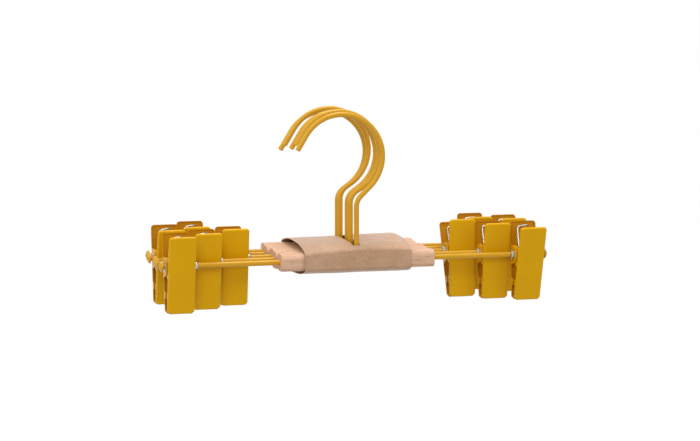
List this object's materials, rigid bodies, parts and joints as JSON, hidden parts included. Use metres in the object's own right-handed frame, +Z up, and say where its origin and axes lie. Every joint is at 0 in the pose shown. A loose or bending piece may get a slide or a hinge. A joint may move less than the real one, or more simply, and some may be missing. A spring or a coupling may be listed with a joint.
{
  "type": "skirt hanger bundle",
  "caption": "Skirt hangers nested in a kraft-paper band: beech bars with coated wire hooks and rods, and sprung sheet-metal clips that swing and open on the rods.",
  "frame": {"origin": "where a wardrobe rail bears: under the crowns of the hooks, over the hooks' shanks, in the middle hanger's plane", "axes": "+X along the bars and rods to the right, +Y from the front hanger to the back one, along the rail, +Z up"},
  "size_m": [0.3616, 0.1098, 0.1768],
  "materials": {
    "coated_sheet": "satin ochre yellow powder coat",
    "coated_wire": "satin ochre yellow powder coat",
    "beech": "bare sanded beech with fine flecks",
    "kraft_paper": "uncoated brown kraft, matt, unprinted",
    "nickel": "bright nickel plate"
  },
  "bodies": {
    "hangers": {"paper_band": "kraft_paper", "rod_stops": "coated_wire", "wooden_bar_1": "beech", "wire_hook_1": "coated_wire", "rods_1": "coated_wire", "wooden_bar_2": "beech", "wire_hook_2": "coated_wire", "rods_2": "coated_wire", "wooden_bar_3": "beech", "wire_hook_3": "coated_wire", "rods_3": "coated_wire", "wooden_bar_4": "beech", "wire_hook_4": "coated_wire", "rods_4": "coated_wire", "wooden_bar_5": "beech", "wire_hook_5": "coated_wire", "rods_5": "coated_wire"},
    "clip_1_left": {"pivot_sleeve_1_left": "nickel", "clip_spring_1_left": "nickel"},
    "front_jaw_1_left": {"front_jaw_1_left": "coated_sheet"},
    "back_jaw_1_left": {"back_jaw_1_left": "coated_sheet"},
    "clip_1_right": {"pivot_sleeve_1_right": "nickel", "clip_spring_1_right": "nickel"},
    "front_jaw_1_right": {"front_jaw_1_right": "coated_sheet"},
    "back_jaw_1_right": {"back_jaw_1_right": "coated_sheet"},
    "clip_2_left": {"pivot_sleeve_2_left": "nickel", "clip_spring_2_left": "nickel"},
    "front_jaw_2_left": {"front_jaw_2_left": "coated_sheet"},
    "back_jaw_2_left": {"back_jaw_2_left": "coated_sheet"},
    "clip_2_right": {"pivot_sleeve_2_right": "nickel", "clip_spring_2_right": "nickel"},
    "front_jaw_2_right": {"front_jaw_2_right": "coated_sheet"},
    "back_jaw_2_right": {"back_jaw_2_right": "coated_sheet"},
    "sliding_sleeve_3_left": {"pivot_sleeve_3_left": "nickel"},
    "clip_3_left": {"clip_spring_3_left": "nickel"},
    "front_jaw_3_left": {"front_jaw_3_left": "coated_sheet"},
    "back_jaw_3_left": {"back_jaw_3_left": "coated_sheet"},
    "sliding_sleeve_3_right": {"pivot_sleeve_3_right": "nickel"},
    "clip_3_right": {"clip_spring_3_right": "nickel"},
    "front_jaw_3_right": {"front_jaw_3_right": "coated_sheet"},
    "back_jaw_3_right": {"back_jaw_3_right": "coated_sheet"},
    "clip_4_left": {"pivot_sleeve_4_left": "nickel", "clip_spring_4_left": "nickel"},
    "front_jaw_4_left": {"front_jaw_4_left": "coated_sheet"},
    "back_jaw_4_left": {"back_jaw_4_left": "coated_sheet"},
    "clip_4_right": {"pivot_sleeve_4_right": "nickel", "clip_spring_4_right": "nickel"},
    "front_jaw_4_right": {"front_jaw_4_right": "coated_sheet"},
    "back_jaw_4_right": {"back_jaw_4_right": "coated_sheet"},
    "clip_5_left": {"pivot_sleeve_5_left": "nickel", "clip_spring_5_left": "nickel"},
    "front_jaw_5_left": {"front_jaw_5_left": "coated_sheet"},
    "back_jaw_5_left": {"back_jaw_5_left": "coated_sheet"},
    "clip_5_right": {"pivot_sleeve_5_right": "nickel", "clip_spring_5_right": "nickel"},
    "front_jaw_5_right": {"front_jaw_5_right": "coated_sheet"},
    "back_jaw_5_right": {"back_jaw_5_right": "coated_sheet"}
  },
  "joints": [
    {"name": "clip_1_left_swing", "type": "hinge", "parent": "hangers", "child": "clip_1_left", "pos_m": [-0.16182, -0.0376, -0.1284], "axis": [1, 0, 0], "range_deg": [-20, 20]},
    {"name": "front_jaw_1_left_open", "type": "hinge", "parent": "clip_1_left", "child": "front_jaw_1_left", "pos_m": [-0.16182, -0.0376, -0.1284], "axis": [-1, 0, 0], "range_deg": [0, 11], "stiffness_Nm_per_rad": 0.6, "springref_deg": -22.92, "deforming": ["clip_spring_1_left"]},
    {"name": "back_jaw_1_left_open", "type": "hinge", "parent": "clip_1_left", "child": "back_jaw_1_left", "pos_m": [-0.16182, -0.0376, -0.1284], "axis": [1, 0, 0], "range_deg": [0, 11], "stiffness_Nm_per_rad": 0.6, "springref_deg": -22.92},
    {"name": "clip_1_right_swing", "type": "hinge", "parent": "hangers", "child": "clip_1_right", "pos_m": [0.16032, -0.0376, -0.1284], "axis": [1, 0, 0], "range_deg": [-20, 20]},
    {"name": "front_jaw_1_right_open", "type": "hinge", "parent": "clip_1_right", "child": "front_jaw_1_right", "pos_m": [0.16032, -0.0376, -0.1284], "axis": [-1, 0, 0], "range_deg": [0, 11], "stiffness_Nm_per_rad": 0.6, "springref_deg": -22.92, "deforming": ["clip_spring_1_right"]},
    {"name": "back_jaw_1_right_open", "type": "hinge", "parent": "clip_1_right", "child": "back_jaw_1_right", "pos_m": [0.16032, -0.0376, -0.1284], "axis": [1, 0, 0], "range_deg": [0, 11], "stiffness_Nm_per_rad": 0.6, "springref_deg": -22.92},
    {"name": "clip_2_left_swing", "type": "hinge", "parent": "hangers", "child": "clip_2_left", "pos_m": [-0.13487, -0.0188, -0.1284], "axis": [1, 0, 0], "range_deg": [-20, 20]},
    {"name": "front_jaw_2_left_open", "type": "hinge", "parent": "clip_2_left", "child": "front_jaw_2_left", "pos_m": [-0.13487, -0.0188, -0.1284], "axis": [-1, 0, 0], "range_deg": [0, 11], "stiffness_Nm_per_rad": 0.6, "springref_deg": -22.92, "deforming": ["clip_spring_2_left"]},
    {"name": "back_jaw_2_left_open", "type": "hinge", "parent": "clip_2_left", "child": "back_jaw_2_left", "pos_m": [-0.13487, -0.0188, -0.1284], "axis": [1, 0, 0], "range_deg": [0, 11], "stiffness_Nm_per_rad": 0.6, "springref_deg": -22.92},
    {"name": "clip_2_right_swing", "type": "hinge", "parent": "hangers", "child": "clip_2_right", "pos_m": [0.13337, -0.0188, -0.1284], "axis": [1, 0, 0], "range_deg": [-20, 20]},
    {"name": "front_jaw_2_right_open", "type": "hinge", "parent": "clip_2_right", "child": "front_jaw_2_right", "pos_m": [0.13337, -0.0188, -0.1284], "axis": [-1, 0, 0], "range_deg": [0, 11], "stiffness_Nm_per_rad": 0.6, "springref_deg": -22.92, "deforming": ["clip_spring_2_right"]},
    {"name": "back_jaw_2_right_open", "type": "hinge", "parent": "clip_2_right", "child": "back_jaw_2_right", "pos_m": [0.13337, -0.0188, -0.1284], "axis": [1, 0, 0], "range_deg": [0, 11], "stiffness_Nm_per_rad": 0.6, "springref_deg": -22.92},
    {"name": "clip_3_left_slide", "type": "slide", "parent": "hangers", "child": "sliding_sleeve_3_left", "axis": [1, 0, 0], "range_m": [0, 0.018]},
    {"name": "clip_3_left_swing", "type": "hinge", "parent": "sliding_sleeve_3_left", "child": "clip_3_left", "pos_m": [-0.10633, 0, -0.1284], "axis": [1, 0, 0], "range_deg": [-20, 20]},
    {"name": "front_jaw_3_left_open", "type": "hinge", "parent": "clip_3_left", "child": "front_jaw_3_left", "pos_m": [-0.10633, 0, -0.1284], "axis": [-1, 0, 0], "range_deg": [0, 11], "stiffness_Nm_per_rad": 0.6, "springref_deg": -22.92, "deforming": ["clip_spring_3_left"]},
    {"name": "back_jaw_3_left_open", "type": "hinge", "parent": "clip_3_left", "child": "back_jaw_3_left", "pos_m": [-0.10633, 0, -0.1284], "axis": [1, 0, 0], "range_deg": [0, 11], "stiffness_Nm_per_rad": 0.6, "springref_deg": -22.92},
    {"name": "clip_3_right_slide", "type": "slide", "parent": "hangers", "child": "sliding_sleeve_3_right", "axis": [-1, 0, 0], "range_m": [0, 0.018]},
    {"name": "clip_3_right_swing", "type": "hinge", "parent": "sliding_sleeve_3_right", "child": "clip_3_right", "pos_m": [0.10643, 0, -0.1284], "axis": [1, 0, 0], "range_deg": [-15, 20]},
    {"name": "front_jaw_3_right_open", "type": "hinge", "parent": "clip_3_right", "child": "front_jaw_3_right", "pos_m": [0.10643, 0, -0.1284], "axis": [-1, 0, 0], "range_deg": [0, 11], "stiffness_Nm_per_rad": 0.6, "springref_deg": -22.92, "deforming": ["clip_spring_3_right"]},
    {"name": "back_jaw_3_right_open", "type": "hinge", "parent": "clip_3_right", "child": "back_jaw_3_right", "pos_m": [0.10643, 0, -0.1284], "axis": [1, 0, 0], "range_deg": [0, 11], "stiffness_Nm_per_rad": 0.6, "springref_deg": -22.92},
    {"name": "clip_4_left_swing", "type": "hinge", "parent": "hangers", "child": "clip_4_left", "pos_m": [-0.16182, 0.0188, -0.1284], "axis": [1, 0, 0], "range_deg": [-20, 20]},
    {"name": "front_jaw_4_left_open", "type": "hinge", "parent": "clip_4_left", "child": "front_jaw_4_left", "pos_m": [-0.16182, 0.0188, -0.1284], "axis": [-1, 0, 0], "range_deg": [0, 11], "stiffness_Nm_per_rad": 0.6, "springref_deg": -22.92, "deforming": ["clip_spring_4_left"]},
    {"name": "back_jaw_4_left_open", "type": "hinge", "parent": "clip_4_left", "child": "back_jaw_4_left", "pos_m": [-0.16182, 0.0188, -0.1284], "axis": [1, 0, 0], "range_deg": [0, 11], "stiffness_Nm_per_rad": 0.6, "springref_deg": -22.92},
    {"name": "clip_4_right_swing", "type": "hinge", "parent": "hangers", "child": "clip_4_right", "pos_m": [0.16032, 0.0188, -0.1284], "axis": [1, 0, 0], "range_deg": [-20, 20]},
    {"name": "front_jaw_4_right_open", "type": "hinge", "parent": "clip_4_right", "child": "front_jaw_4_right", "pos_m": [0.16032, 0.0188, -0.1284], "axis": [-1, 0, 0], "range_deg": [0, 11], "stiffness_Nm_per_rad": 0.6, "springref_deg": -22.92, "deforming": ["clip_spring_4_right"]},
    {"name": "back_jaw_4_right_open", "type": "hinge", "parent": "clip_4_right", "child": "back_jaw_4_right", "pos_m": [0.16032, 0.0188, -0.1284], "axis": [1, 0, 0], "range_deg": [0, 11], "stiffness_Nm_per_rad": 0.6, "springref_deg": -22.92},
    {"name": "clip_5_left_swing", "type": "hinge", "parent": "hangers", "child": "clip_5_left", "pos_m": [-0.13487, 0.0376, -0.1284], "axis": [1, 0, 0], "range_deg": [-20, 20]},
    {"name": "front_jaw_5_left_open", "type": "hinge", "parent": "clip_5_left", "child": "front_jaw_5_left", "pos_m": [-0.13487, 0.0376, -0.1284], "axis": [-1, 0, 0], "range_deg": [0, 11], "stiffness_Nm_per_rad": 0.6, "springref_deg": -22.92, "deforming": ["clip_spring_5_left"]},
    {"name": "back_jaw_5_left_open", "type": "hinge", "parent": "clip_5_left", "child": "back_jaw_5_left", "pos_m": [-0.13487, 0.0376, -0.1284], "axis": [1, 0, 0], "range_deg": [0, 11], "stiffness_Nm_per_rad": 0.6, "springref_deg": -22.92},
    {"name": "clip_5_right_swing", "type": "hinge", "parent": "hangers", "child": "clip_5_right", "pos_m": [0.13337, 0.0376, -0.1284], "axis": [1, 0, 0], "range_deg": [-20, 20]},
    {"name": "front_jaw_5_right_open", "type": "hinge", "parent": "clip_5_right", "child": "front_jaw_5_right", "pos_m": [0.13337, 0.0376, -0.1284], "axis": [-1, 0, 0], "range_deg": [0, 11], "stiffness_Nm_per_rad": 0.6, "springref_deg": -22.92, "deforming": ["clip_spring_5_right"]},
    {"name": "back_jaw_5_right_open", "type": "hinge", "parent": "clip_5_right", "child": "back_jaw_5_right", "pos_m": [0.13337, 0.0376, -0.1284], "axis": [1, 0, 0], "range_deg": [0, 11], "stiffness_Nm_per_rad": 0.6, "springref_deg": -22.92}
  ],
  "couplings": [
    {"joint": "back_jaw_1_left_open", "follows": "front_jaw_1_left_open", "ratio": 1},
    {"joint": "back_jaw_1_right_open", "follows": "front_jaw_1_right_open", "ratio": 1},
    {"joint": "back_jaw_2_left_open", "follows": "front_jaw_2_left_open", "ratio": 1},
    {"joint": "back_jaw_2_right_open", "follows": "front_jaw_2_right_open", "ratio": 1},
    {"joint": "back_jaw_3_left_open", "follows": "front_jaw_3_left_open", "ratio": 1},
    {"joint": "back_jaw_3_right_open", "follows": "front_jaw_3_right_open", "ratio": 1},
    {"joint": "back_jaw_4_left_open", "follows": "front_jaw_4_left_open", "ratio": 1},
    {"joint": "back_jaw_4_right_open", "follows": "front_jaw_4_right_open", "ratio": 1},
    {"joint": "back_jaw_5_left_open", "follows": "front_jaw_5_left_open", "ratio": 1},
    {"joint": "back_jaw_5_right_open", "follows": "front_jaw_5_right_open", "ratio": 1}
  ]
}
